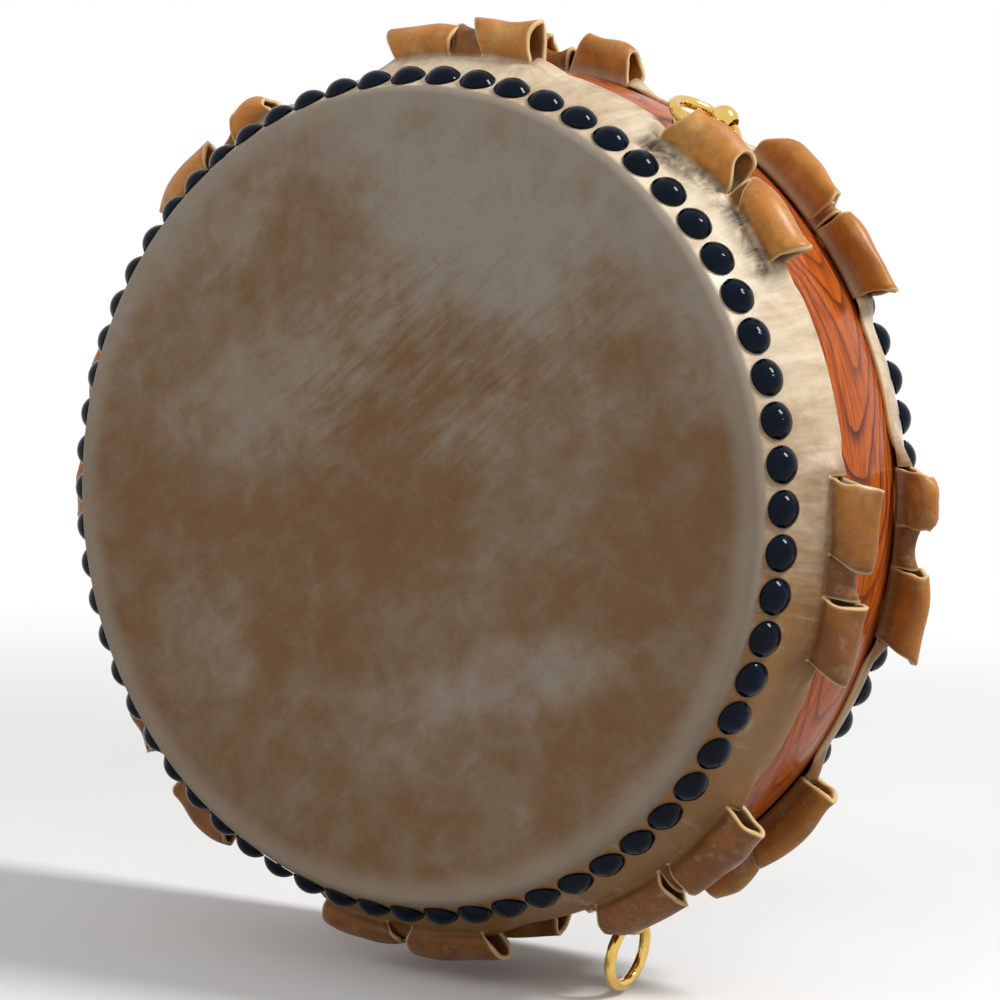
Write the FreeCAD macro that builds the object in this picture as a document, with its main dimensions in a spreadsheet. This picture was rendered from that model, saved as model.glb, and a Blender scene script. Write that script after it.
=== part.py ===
import FreeCAD, Part
import os
import Sketcher

# A flat barrel drum. Its axis lies along Y, the front head faces -Y, Z is up and
# the origin is the middle of the drum. Lengths are in millimetres, angles in degrees.

vec = FreeCAD.Vector
doc = FreeCAD.newDocument("flat_drum")
sheet = doc.addObject("Spreadsheet::Sheet", "Sizes")

driving_sizes = {
    # barrel
    "drum_height": 183,             # from one playing face to the other
    "shell_diameter": 496,          # at the belly of the barrel
    "shell_bulge": 23.5,            # belly beyond the bare wood at either mouth
    "shell_wall": 20,
    "mouth_rounding": 3,
    "mouth_chamfer": 4,
    # hides
    "hide_thickness": 2.6,
    "hide_gap": 0.3,                # between hide and wood
    "rim_rounding": 6,              # outer bend of the hide over the mouth
    "skirt_edge": 33,               # from mid height to the free edge of the hide
    # ears left on the hide's edge
    "ear_front": 51,                # from mid height to the leaf nearer the playing face
    "ear_back": 35,                 # from mid height to the leaf nearer the belly
    "ear_height": 22,
    "ear_seat_gap": 0.2,
    # tacks
    "tack_count": 64,
    "tack_first_angle": 1.875,
    "tack_setback": 14,             # from playing face to the ring of tacks
    "tack_head_diameter": 20,
    "tack_head_height": 6.5,
    "tack_head_edge": 1,
    "tack_shank_diameter": 3.2,
    "tack_shank_length": 17,
    "tack_point": 4,
    "tack_clearance": 0.15,
    # ring handles
    "handle_count": 3,
    "handle_first_angle": 55,
    "ring_diameter": 38.4,          # across the centre line of the rod
    "ring_rod_diameter": 6.5,
    "ball_diameter": 17,
    "ball_standoff": 13.5,          # ball centre above the wood
    "eye_throat_diameter": 8,
    "eye_mouth_diameter": 12,
    "neck_diameter": 11,
    "bolt_diameter": 8,
    "bolt_clearance": 0.2,
    "bolt_end": 3,                  # bolt beyond the nut
    "plate_diameter": 48,
    "plate_height": 4,
    "plate_boss_diameter": 16,
    "plate_rim": 2.2,
    "plate_seat_gap": 0.2,
    "washer_diameter": 24,
    "washer_thickness": 2,
    "spot_diameter": 28,
    "spot_depth": 1,
    "nut_width": 13,
    "nut_height": 6.5,
    "nut_clearance": 0.1,
}

# Each ear: (angle of its middle, angle that it spans), anticlockwise from the
# right-hand side as seen from the front. They come in pairs, one pair to each
# of the eight sticks that the hide was stretched with.
ear_places = [
    (37, 8), (47.4, 8.2),
    (80.3, 6.6), (94, 8),
    (122.5, 8), (136.5, 8),
    (166, 8), (182, 10),
    (216, 8), (230.5, 9.5),
    (259.5, 10), (274, 11),
    (303, 10), (315.5, 11.5),
    (347, 8), (361, 9.5),
]

# Each ring handle: (turn of its eye about its own bolt, swing of the ring from
# straight out). Turn 0 sets the eye's hole across the drum's axis, 90 along it.
handle_poses = [(0, 96), (90, -95), (90, 34)]


def fill_sheet():
    sizes = dict(driving_sizes)
    for number, (middle, span) in enumerate(ear_places, 1):
        sizes[f"ear_{number}_angle"] = middle
        sizes[f"ear_{number}_span"] = span
    for number, (turn, swing) in enumerate(handle_poses, 1):
        sizes[f"eye_{number}_turn"] = turn
        sizes[f"ring_{number}_swing"] = swing
    for row, (name, value) in enumerate(sizes.items(), 1):
        sheet.set(f"A{row}", name)
        sheet.set(f"B{row}", str(value))
        sheet.setAlias(f"B{row}", name)
    doc.recompute()


def size(name):
    return f"Sizes.{name}"


def number(expression):
    value = sheet.evalExpression(expression)
    return float(getattr(value, "Value", value))


fill_sheet()

# Worked-out values, as expressions on the sheet. The barrel's side is an arc;
# its centre lies on the mid plane at barrel_centre from the axis.
half_height = f"({size('drum_height')} / 2)"
shell_half = f"({half_height} - {size('hide_thickness')} - {size('hide_gap')})"
belly_radius = f"({size('shell_diameter')} / 2)"
mouth_radius = f"({belly_radius} - {size('shell_bulge')})"
side_radius = f"(({shell_half}^2 + {size('shell_bulge')}^2) / (2 * {size('shell_bulge')}))"
barrel_centre = f"({belly_radius} - {side_radius})"
inner_side_radius = f"({side_radius} - {size('shell_wall')})"
hide_inner_radius = f"({side_radius} + {size('hide_gap')})"
hide_outer_radius = f"({hide_inner_radius} + {size('hide_thickness')})"
tack_level = f"({half_height} - {size('tack_setback')})"
tack_lean = f"asin({tack_level} / {hide_outer_radius})"
ball_level = f"({belly_radius} + {size('ball_standoff')})"
ball_radius = f"({size('ball_diameter')} / 2)"
neck_radius = f"({size('neck_diameter')} / 2)"
bolt_radius = f"({size('bolt_diameter')} / 2)"
bolt_hole_radius = f"({bolt_radius} + {size('bolt_clearance')})"
plate_top = f"({belly_radius} + {size('plate_height')})"
spot_level = f"({belly_radius} - {size('shell_wall')} + {size('spot_depth')})"
nut_top = f"({spot_level} - {size('washer_thickness')})"
nut_bottom = f"({nut_top} - {size('nut_height')})"
bolt_bottom = f"({nut_bottom} - {size('bolt_end')})"


def reach(radius, level):
    """Distance from the drum's axis of an arc about barrel_centre, at a level."""
    return f"({barrel_centre} + sqrt({radius}^2 - ({level})^2))"


def origin_feature(body, role):
    return next(item for item in body.Origin.OriginFeatures if item.Role == role)


def new_body(name):
    body = doc.addObject("PartDesign::Body", name)
    body.Label = name
    return body


def new_sketch(body, name, plane="XY_Plane"):
    sketch = body.newObject("Sketcher::SketchObject", name)
    sketch.AttachmentSupport = [(origin_feature(body, plane), "")]
    sketch.MapMode = "FlatFace"
    return sketch


def outline(sketch, corners, curves=None):
    """Draw a closed outline whose corners are pairs of expressions.

    curves maps the number of a side to (radius expression, bulge side), where
    the side is +1 to the left of the direction of travel and -1 to its right.
    """
    curves = curves or {}
    points = [vec(number(x), number(y), 0) for x, y in corners]
    count = len(points)
    near_end, far_end = {}, {}
    for index, start in enumerate(points):
        end = points[(index + 1) % count]
        near_end[index], far_end[index] = 1, 2
        if index not in curves:
            sketch.addGeometry(Part.LineSegment(start, end))
            continue
        radius_expression, bulge_side = curves[index]
        radius = number(radius_expression)
        chord = end - start
        half_chord = min(chord.Length / 2, radius)
        sagitta = radius - (radius ** 2 - half_chord ** 2) ** 0.5
        left = vec(-chord.y, chord.x, 0).normalize()
        middle = (start + end) * 0.5 + left * sagitta * bulge_side
        if bulge_side > 0:
            # a sketch's arcs run anticlockwise, so this one is drawn from its far end
            near_end[index], far_end[index] = 2, 1
            start, end = end, start
        sketch.addGeometry(Part.Arc(start, middle, end))
    for index in range(count):
        following = (index + 1) % count
        sketch.addConstraint(Sketcher.Constraint(
            "Coincident", index, far_end[index], following, near_end[following]))
    for index, corner in enumerate(corners):
        for kind, expression in zip(("DistanceX", "DistanceY"), corner):
            fix = Sketcher.Constraint(kind, -1, 1, index, near_end[index], number(expression))
            constraint = sketch.addConstraint(fix)
            sketch.setExpression(f"Constraints[{constraint}]", expression)
    for index, (radius_expression, _) in curves.items():
        fix = Sketcher.Constraint("Radius", index, number(radius_expression))
        constraint = sketch.addConstraint(fix)
        sketch.setExpression(f"Constraints[{constraint}]", radius_expression)
    return sketch


def revolve(body, sketch, name, axis="Y_Axis"):
    feature = body.newObject("PartDesign::Revolution", name)
    feature.Profile = (sketch, [""])
    feature.ReferenceAxis = (origin_feature(body, axis), [""])
    feature.Angle = 360
    return feature


def groove(body, sketch, name):
    """Turn a sketch about its own horizontal axis and cut it away."""
    feature = body.newObject("PartDesign::Groove", name)
    feature.Profile = (sketch, [""])
    feature.ReferenceAxis = (sketch, ["H_Axis"])
    feature.Angle = 360
    return feature


def around_drum(body, feature, name, count):
    pattern = body.newObject("PartDesign::PolarPattern", name)
    pattern.Originals = [feature]
    pattern.Axis = (origin_feature(body, "Y_Axis"), [""])
    pattern.Angle = 360
    pattern.setExpression("Occurrences", count)
    body.Tip = pattern
    return pattern


def circle_edges(shape, radius, level):
    """Names of the full circles of one radius at plus and minus a level along Y."""
    names = []
    for index, edge in enumerate(shape.Edges, 1):
        curve = edge.Curve
        if isinstance(curve, Part.Circle) and abs(curve.Radius - radius) < 0.01:
            if abs(abs(curve.Center.y) - level) < 0.01:
                names.append(f"Edge{index}")
    return names


def dress(body, kind, name, base, edges, value):
    feature = body.newObject(f"PartDesign::{kind}", name)
    feature.Base = (base, edges)
    feature.setExpression("Radius" if kind == "Fillet" else "Size", value)
    doc.recompute()
    return feature


def radial_sketch(body, name, angle):
    """A sketch whose horizontal axis points out of the drum at an angle."""
    sketch = new_sketch(body, name)
    sketch.AttachmentOffset = FreeCAD.Placement(vec(), FreeCAD.Rotation(vec(0, 1, 0), -1))
    sketch.setExpression("AttachmentOffset.Rotation.Angle", f"-{angle} * 1 deg")
    return sketch


def tack_sketch(body, name, side):
    """A sketch whose horizontal axis is a tack's own, square to the barrel's side."""
    sketch = new_sketch(body, name)
    around = f"rotation(vector(0; 1; 0); -{size('tack_first_angle')})"
    lean = f"rotation(vector(0; 0; 1); {side} * {tack_lean})"
    sketch.setExpression("AttachmentOffset", (
        f"placement(vector(0; 0; 0); {around}) * placement(vector({barrel_centre}; 0; 0); {lean})"))
    return sketch


def tack_holes(body, side, name):
    hole_radius = f"({size('tack_shank_diameter')} / 2 + {size('tack_clearance')})"
    bottom = f"({hide_outer_radius} - {size('tack_shank_length')} - {size('tack_clearance')})"
    top = f"({hide_outer_radius} + {size('tack_head_height')})"
    sketch = tack_sketch(body, f"{name}_sketch", side)
    outline(sketch, [(bottom, "0"), (top, "0"), (top, hole_radius), (bottom, hole_radius)])
    hole = groove(body, sketch, name)
    around_drum(body, hole, f"{name}_ring", size("tack_count"))


def make_shell():
    body = new_body("shell")
    inner_mouth_radius = reach(inner_side_radius, shell_half)
    section = outline(new_sketch(body, "shell_section"), [
        (mouth_radius, f"-{shell_half}"),
        (mouth_radius, shell_half),
        (inner_mouth_radius, shell_half),
        (inner_mouth_radius, f"-{shell_half}"),
    ], {0: (side_radius, -1), 2: (inner_side_radius, 1)})
    wood = revolve(body, section, "shell_turned")
    doc.recompute()
    level = number(shell_half)
    rounded = dress(body, "Fillet", "mouth_rounded", wood,
                    circle_edges(wood.Shape, number(mouth_radius), level),
                    size("mouth_rounding"))
    dress(body, "Chamfer", "mouth_chamfered", rounded,
          circle_edges(rounded.Shape, number(inner_mouth_radius), level),
          size("mouth_chamfer"))
    tack_holes(body, -1, "front_tack_hole")
    tack_holes(body, 1, "rear_tack_hole")
    below_wall = f"({belly_radius} - {size('shell_wall')} - {size('spot_depth')} * 4)"
    above_wall = f"({belly_radius} + {size('spot_depth')} * 4)"
    spot_radius = f"({size('spot_diameter')} / 2)"
    sketch = radial_sketch(body, "bolt_hole_sketch", size("handle_first_angle"))
    outline(sketch, [
        (below_wall, "0"), (above_wall, "0"), (above_wall, bolt_hole_radius),
        (spot_level, bolt_hole_radius), (spot_level, spot_radius), (below_wall, spot_radius),
    ])
    hole = groove(body, sketch, "bolt_hole")
    around_drum(body, hole, "bolt_holes", size("handle_count"))
    return body


def make_head(name, side):
    body = new_body(name)
    face = f"({side} * {half_height})"
    back = f"({side} * ({half_height} - {size('hide_thickness')}))"
    edge = f"({side} * {size('skirt_edge')})"
    inner_edge_level = f"({size('skirt_edge')} * {hide_inner_radius} / {hide_outer_radius})"
    section = outline(new_sketch(body, f"{name}_section"), [
        ("0", face),
        (reach(hide_outer_radius, half_height), face),
        (reach(hide_outer_radius, size("skirt_edge")), edge),
        (reach(hide_inner_radius, inner_edge_level), f"({side} * {inner_edge_level})"),
        (reach(hide_inner_radius, f"{half_height} - {size('hide_thickness')}"), back),
        ("0", back),
    ], {1: (hide_outer_radius, side), 3: (hide_inner_radius, -side)})
    hide = revolve(body, section, f"{name}_turned")
    doc.recompute()
    corner = number(reach(hide_outer_radius, half_height))
    bend = dress(body, "Fillet", f"{name}_bend", hide,
                 circle_edges(hide.Shape, corner, number(half_height)), size("rim_rounding"))
    inside = f"{half_height} - {size('hide_thickness')}"
    inner_corner = number(reach(hide_inner_radius, inside))
    dress(body, "Fillet", f"{name}_inner_bend", bend,
          circle_edges(bend.Shape, inner_corner, number(inside)),
          f"({size('rim_rounding')} - {size('hide_thickness')})")
    tack_holes(body, side, f"{name}_tack_hole")
    return body


def make_tacks(name, side):
    body = new_body(name)
    body.AllowCompound = True
    seat = f"({hide_outer_radius} + {size('tack_clearance')})"
    tip = f"({seat} - {size('tack_shank_length')})"
    shank_radius = f"({size('tack_shank_diameter')} / 2)"
    head_radius = f"({size('tack_head_diameter')} / 2)"
    edge_top = f"({seat} + {size('tack_head_edge')})"
    dome = f"({size('tack_head_height')} - {size('tack_head_edge')})"
    dome_radius = f"(({head_radius}^2 + {dome}^2) / (2 * {dome}))"
    sketch = outline(tack_sketch(body, f"{name}_section", side), [
        (tip, "0"),
        (f"({tip} + {size('tack_point')})", shank_radius),
        (seat, shank_radius),
        (seat, head_radius),
        (edge_top, head_radius),
        (f"({seat} + {size('tack_head_height')})", "0"),
    ], {4: (dome_radius, 1)})
    tack = body.newObject("PartDesign::Revolution", f"{name}_turned")
    tack.Profile = (sketch, [""])
    tack.ReferenceAxis = (sketch, ["H_Axis"])
    tack.Angle = 360
    around_drum(body, tack, f"{name}_ring", size("tack_count"))
    return body


def make_ears(name, side):
    """Loops of hide that stand on the skirt, each turned through its own span."""
    sketch = doc.addObject("Sketcher::SketchObject", f"{name}_section")
    front, back = size("ear_front"), size("ear_back")
    thickness = size("hide_thickness")
    front_inside = f"({front} - {thickness})"
    back_inside = f"({back} + {thickness})"
    middle = f"(({front} + {back}) / 2)"
    crown = f"(({front} - {back}) / 2)"
    shoulder = f"({reach(hide_outer_radius, middle)} + {size('ear_height')} - {crown})"

    def foot(level):
        return f"({reach(hide_outer_radius, level)} + {size('ear_seat_gap')})"

    inner_crown = f"({crown} - {thickness})"
    outline(sketch, [
        (foot(front_inside), f"({side} * {front})"),
        (shoulder, f"({side} * {front})"),
        (f"({shoulder} + {crown})", f"({side} * {middle})"),
        (shoulder, f"({side} * {back})"),
        (foot(back), f"({side} * {back})"),
        (foot(back), f"({side} * {back_inside})"),
        (shoulder, f"({side} * {back_inside})"),
        (f"({shoulder} + {inner_crown})", f"({side} * {middle})"),
        (shoulder, f"({side} * {front_inside})"),
        (foot(front_inside), f"({side} * {front_inside})"),
    ], {1: (crown, side), 2: (crown, side), 6: (inner_crown, -side), 7: (inner_crown, -side)})
    ears = []
    for place in range(1, len(ear_places) + 1):
        ear = doc.addObject("Part::Revolution", f"{name}_{place}")
        ear.Source = sketch
        ear.Axis = vec(0, 1, 0)
        ear.Solid = True
        ear.Symmetric = True
        ear.setExpression("Angle", size(f"ear_{place}_span"))
        turn = f"rotation(vector(0; 1; 0); -{size(f'ear_{place}_angle')})"
        ear.setExpression("Placement", f"placement(vector(0; 0; 0); {turn})")
        ears.append(ear)
    group = doc.addObject("Part::Compound", name)
    group.Label = name
    group.Links = ears
    return group


def handle_frame(place, turned=False):
    """Placement whose Z points out of the drum through a handle's bolt."""
    angle = f"({size('handle_first_angle')} + {place - 1} * 360 / {size('handle_count')})"
    turn = f"rotation(vector(0; 1; 0); 90 - {angle})"
    if turned:
        turn = f"{turn} * rotation(vector(0; 0; 1); {size(f'eye_{place}_turn')})"
    return f"placement(vector(0; 0; 0); {turn})"


def lifted(height):
    return f"placement(vector(0; 0; {height}); rotation(vector(0; 0; 1); 0))"


def turned_body(name, corners, curves, frame):
    body = new_body(name)
    sketch = outline(new_sketch(body, f"{name}_section", "XZ_Plane"), corners, curves)
    revolve(body, sketch, f"{name}_turned", "Z_Axis")
    body.setExpression("Placement", frame)
    return body


def make_eye_bolt(place):
    name = f"eye_bolt_{place}"
    neck_top = f"({ball_level} - sqrt({ball_radius}^2 - {neck_radius}^2))"
    body = turned_body(name, [
        ("0", bolt_bottom),
        (bolt_radius, bolt_bottom),
        (bolt_radius, plate_top),
        (neck_radius, plate_top),
        (neck_radius, neck_top),
        (ball_radius, ball_level),
        ("0", f"({ball_level} + {ball_radius})"),
    ], {4: (ball_radius, -1), 5: (ball_radius, -1)}, handle_frame(place, turned=True))
    throat_radius = f"({size('eye_throat_diameter')} / 2)"
    flare_radius = f"({size('eye_mouth_diameter')} / 2)"
    throat_end = f"({ball_radius} / 4)"
    sketch = new_sketch(body, f"{name}_hole_section", "XZ_Plane")
    sketch.setExpression("AttachmentOffset.Base.y", ball_level)
    outline(sketch, [
        (f"-{ball_radius}", "0"), (ball_radius, "0"), (ball_radius, flare_radius),
        (throat_end, throat_radius), (f"-{throat_end}", throat_radius),
        (f"-{ball_radius}", flare_radius),
    ])
    groove(body, sketch, f"{name}_hole")
    return body


def make_barrel_form():
    """Solid barrel a little larger than the shell, which cuts the plates' undersides."""
    body = new_body("barrel_form")
    form_radius = f"({side_radius} + {size('plate_seat_gap')})"
    side = reach(form_radius, shell_half)
    section = outline(new_sketch(body, "barrel_form_section"), [
        ("0", f"-{shell_half}"), (side, f"-{shell_half}"),
        (side, shell_half), ("0", shell_half),
    ], {1: (form_radius, -1)})
    revolve(body, section, "barrel_form_turned")
    return body


def make_plate(place, barrel_form):
    name = f"escutcheon_{place}"
    plate_radius = f"({size('plate_diameter')} / 2)"
    boss_radius = f"({size('plate_boss_diameter')} / 2)"
    sag = f"({side_radius} - sqrt({side_radius}^2 - {plate_radius}^2))"
    underside = f"({belly_radius} - 2 * {sag})"
    rim_top = f"({belly_radius} - {sag} + {size('plate_rim')})"
    blank = turned_body(f"{name}_blank", [
        (bolt_hole_radius, underside), (plate_radius, underside), (plate_radius, rim_top),
        (boss_radius, plate_top), (bolt_hole_radius, plate_top),
    ], {2: (f"(2 * {plate_radius})", -1)}, handle_frame(place))
    plate = doc.addObject("Part::Cut", name)
    plate.Label = name
    plate.Base = blank
    plate.Tool = barrel_form
    return plate


def make_washer(place):
    washer_radius = f"({size('washer_diameter')} / 2)"
    return turned_body(f"washer_{place}", [
        (bolt_hole_radius, nut_top), (washer_radius, nut_top),
        (washer_radius, spot_level), (bolt_hole_radius, spot_level),
    ], None, handle_frame(place))


def make_nut(place):
    name = f"nut_{place}"
    frame = f"{handle_frame(place)} * {lifted(nut_bottom)}"
    hexagon = doc.addObject("Part::Prism", f"{name}_hexagon")
    hexagon.Polygon = 6
    hexagon.setExpression("Circumradius", f"{size('nut_width')} / sqrt(3)")
    hexagon.setExpression("Height", size("nut_height"))
    hexagon.setExpression("Placement", frame)
    bore = doc.addObject("Part::Cylinder", f"{name}_bore")
    bore.setExpression("Radius", f"{bolt_radius} + {size('nut_clearance')}")
    bore.setExpression("Height", size("nut_height"))
    bore.setExpression("Placement", frame)
    nut = doc.addObject("Part::Cut", name)
    nut.Label = name
    nut.Base = hexagon
    nut.Tool = bore
    return nut


def make_ring(place):
    name = f"ring_{place}"
    ring = doc.addObject("Part::Torus", name)
    ring.Label = name
    radius = f"({size('ring_diameter')} / 2)"
    ring.setExpression("Radius1", radius)
    ring.setExpression("Radius2", f"{size('ring_rod_diameter')} / 2")
    swing = f"placement(vector(0; 0; 0); rotation(vector(1; 0; 0); {size(f'ring_{place}_swing')}))"
    upright = "placement(vector(0; 0; 0); rotation(vector(1; 0; 0); 90))"
    ring.setExpression("Placement", " * ".join([
        handle_frame(place, turned=True), lifted(ball_level), swing, lifted(radius), upright]))
    return ring


def build():
    parts = [make_shell()]
    for name, side in (("front", -1), ("rear", 1)):
        parts.append(make_head(f"{name}_head", side))
        parts.append(make_ears(f"{name}_ears", side))
        parts.append(make_tacks(f"{name}_tacks", side))
    barrel_form = make_barrel_form()
    for place in range(1, int(number(size("handle_count"))) + 1):
        parts.append(make_eye_bolt(place))
        parts.append(make_plate(place, barrel_form))
        parts.append(make_washer(place))
        parts.append(make_nut(place))
        parts.append(make_ring(place))
    doc.recompute()
    return parts


def check(parts):
    for item in doc.Objects:
        if "Invalid" in item.State or "Error" in item.State:
            raise RuntimeError(f"{item.Label} failed: {item.State}")
    for part in parts:
        if part.Shape.isNull() or not part.Shape.isValid():
            raise RuntimeError(f"{part.Label} has no valid shape")


def write(parts):
    os.makedirs("parts", exist_ok=True)
    for part in parts:
        part.Shape.exportStep(f"parts/{part.Label}.step")
        box = part.Shape.BoundBox
        print(f"{part.Label}: {len(part.Shape.Solids)} solids, {part.Shape.Volume:.1f} mm3, "
              f"x {box.XMin:.1f} {box.XMax:.1f}, y {box.YMin:.1f} {box.YMax:.1f}, "
              f"z {box.ZMin:.1f} {box.ZMax:.1f}")


drum_parts = build()
check(drum_parts)
write(drum_parts)
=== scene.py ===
import math
import random

import bmesh
import bpy
from mathutils import Matrix, Vector, noise


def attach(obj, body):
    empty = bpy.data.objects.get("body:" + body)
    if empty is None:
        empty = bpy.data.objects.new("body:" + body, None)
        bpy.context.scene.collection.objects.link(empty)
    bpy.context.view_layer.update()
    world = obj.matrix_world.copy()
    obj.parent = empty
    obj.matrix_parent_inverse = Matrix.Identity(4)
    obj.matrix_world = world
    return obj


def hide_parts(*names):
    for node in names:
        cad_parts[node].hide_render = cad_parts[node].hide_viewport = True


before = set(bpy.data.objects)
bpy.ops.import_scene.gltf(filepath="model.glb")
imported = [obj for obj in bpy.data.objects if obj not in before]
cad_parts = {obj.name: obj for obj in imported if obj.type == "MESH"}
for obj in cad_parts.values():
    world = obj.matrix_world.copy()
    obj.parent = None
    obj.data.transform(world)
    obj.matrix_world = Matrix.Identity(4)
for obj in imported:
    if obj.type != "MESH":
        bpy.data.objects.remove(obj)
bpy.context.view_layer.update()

# A flat barrel drum: lacquered wooden shell, two tacked rawhide heads with the
# looped ears left on their edges, and three gold ring handles. Metres, Z up,
# the drum's axis along Y with the front head facing -Y.

random.seed(41)

barrel = {
    "centre": 0.06923,      # the side's arc is struck from this distance off the axis
    "woodRadius": 0.17877,
    "hideRadius": 0.18167,  # outside of the hide
    "halfHeight": 0.0915,
}


def barrelReach(level, radius):
    return barrel["centre"] + math.sqrt(radius ** 2 - level ** 2)


def smooth(value):
    value = min(max(value, 0.0), 1.0)
    return value * value * (3 - 2 * value)


def plug(tree, node, links):
    for socket, value in links.items():
        if isinstance(value, bpy.types.NodeSocket):
            tree.links.new(value, node.inputs[socket])
        else:
            node.inputs[socket].default_value = value


def addNode(tree, kind, links=None, **settings):
    node = tree.nodes.new(kind)
    for name, value in settings.items():
        setattr(node, name, value)
    plug(tree, node, links or {})
    return node


def mathNode(tree, operation, *values, clamp=False):
    links = dict(enumerate(values))
    return addNode(tree, "ShaderNodeMath", links, operation=operation, use_clamp=clamp).outputs[0]


def square(tree, value):
    return mathNode(tree, "MULTIPLY", value, value)


# adds a pattern to a total, centred on its middle value
def addCentred(tree, total, pattern, amount, middle=0.5):
    centred = mathNode(tree, "SUBTRACT", pattern, middle)
    return mathNode(tree, "MULTIPLY_ADD", centred, amount, total)


def mixColour(tree, factor, first, second):
    links = {0: factor, 6: first, 7: second}
    return addNode(tree, "ShaderNodeMix", links, data_type="RGBA").outputs[2]


def mapRange(tree, value, low, high, toLow=0.0, toHigh=1.0):
    links = {0: value, 1: low, 2: high, 3: toLow, 4: toHigh}
    return addNode(tree, "ShaderNodeMapRange", links, interpolation_type="SMOOTHSTEP").outputs[0]


def noiseOf(tree, vector, scale, detail=4.0, roughness=0.55, distortion=0.0):
    links = {"Vector": vector, "Scale": scale, "Detail": detail,
             "Roughness": roughness, "Distortion": distortion}
    return addNode(tree, "ShaderNodeTexNoise", links).outputs[0]


def mapped(tree, vector, turn=(0, 0, 0), scale=(1, 1, 1)):
    links = {"Vector": vector, "Rotation": turn, "Scale": scale}
    return addNode(tree, "ShaderNodeMapping", links).outputs[0]


# the Mapping node scales before it turns, so streaks take a turn first and then a scale
def streaked(tree, vector, degrees, scale):
    turned = mapped(tree, vector, turn=(0, math.radians(degrees), 0))
    return mapped(tree, turned, scale=scale)


def attribute(tree, name):
    return addNode(tree, "ShaderNodeAttribute", attribute_name=name).outputs["Fac"]


def newGroup(name, inputs, outputs):
    group = bpy.data.node_groups.new(name, "ShaderNodeTree")
    for label, kind, value in inputs:
        socket = group.interface.new_socket(label, in_out="INPUT", socket_type=kind)
        if value is not None:
            socket.default_value = value
    for label, kind in outputs:
        group.interface.new_socket(label, in_out="OUTPUT", socket_type=kind)
    return group, group.nodes.new("NodeGroupInput"), group.nodes.new("NodeGroupOutput")


def fillGroup(tree, group, links):
    return addNode(tree, "ShaderNodeGroup", links, node_tree=group)


def newMaterial(name):
    material = bpy.data.materials.new(name)
    material.use_nodes = True
    tree = material.node_tree
    tree.nodes.clear()
    shader = addNode(tree, "ShaderNodeBsdfPrincipled")
    addNode(tree, "ShaderNodeOutputMaterial", {"Surface": shader.outputs[0]})
    place = addNode(tree, "ShaderNodeTexCoord").outputs["Object"]
    return material, tree, shader, place


def bump(tree, height, distance, strength):
    links = {"Height": height, "Distance": distance, "Strength": strength}
    return addNode(tree, "ShaderNodeBump", links).outputs[0]


# cloudy mask with a contrast of its own, and a fine grain
def makeMottle():
    inputs = [("Vector", "NodeSocketVector", None), ("Scale", "NodeSocketFloat", 12.0),
              ("Contrast", "NodeSocketFloat", 1.0)]
    outputs = [("Mask", "NodeSocketFloat"), ("Grain", "NodeSocketFloat")]
    group, given, result = newGroup("mottle", inputs, outputs)
    broad = noiseOf(group, given.outputs["Vector"], given.outputs["Scale"], 6.0, 0.6, 0.4)
    steepness = mathNode(group, "MULTIPLY", given.outputs["Contrast"], 4.0)
    centred = mathNode(group, "SUBTRACT", broad, 0.5)
    spread = mathNode(group, "MULTIPLY", centred, steepness)
    fine = noiseOf(group, given.outputs["Vector"], 900.0, 3.0, 0.7)
    plug(group, result, {"Mask": mathNode(group, "ADD", spread, 0.5, clamp=True), "Grain": fine})
    return group


# soft oval on the head: 1 in its middle, fading out past its edge
def makePatch():
    inputs = [("Vector", "NodeSocketVector", None), ("Centre", "NodeSocketVector", (0, 0, 0)),
              ("Turn", "NodeSocketFloat", 0.0), ("Long", "NodeSocketFloat", 0.1),
              ("Short", "NodeSocketFloat", 0.05)]
    group, given, result = newGroup("patch", inputs, [("Mask", "NodeSocketFloat")])
    links = {0: given.outputs["Vector"], 1: given.outputs["Centre"]}
    moved = addNode(group, "ShaderNodeVectorMath", links, operation="SUBTRACT").outputs[0]
    links = {"Vector": moved, "Angle": given.outputs["Turn"]}
    turned = addNode(group, "ShaderNodeVectorRotate", links, rotation_type="Y_AXIS").outputs[0]
    parts = addNode(group, "ShaderNodeSeparateXYZ", {0: turned})
    along = mathNode(group, "DIVIDE", parts.outputs["X"], given.outputs["Long"])
    across = mathNode(group, "DIVIDE", parts.outputs["Z"], given.outputs["Short"])
    squares = mathNode(group, "ADD", square(group, along), square(group, across))
    plug(group, result, {"Mask": mapRange(group, squares, 1.3, 0.0)})
    return group


mottle = makeMottle()
patch = makePatch()


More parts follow.
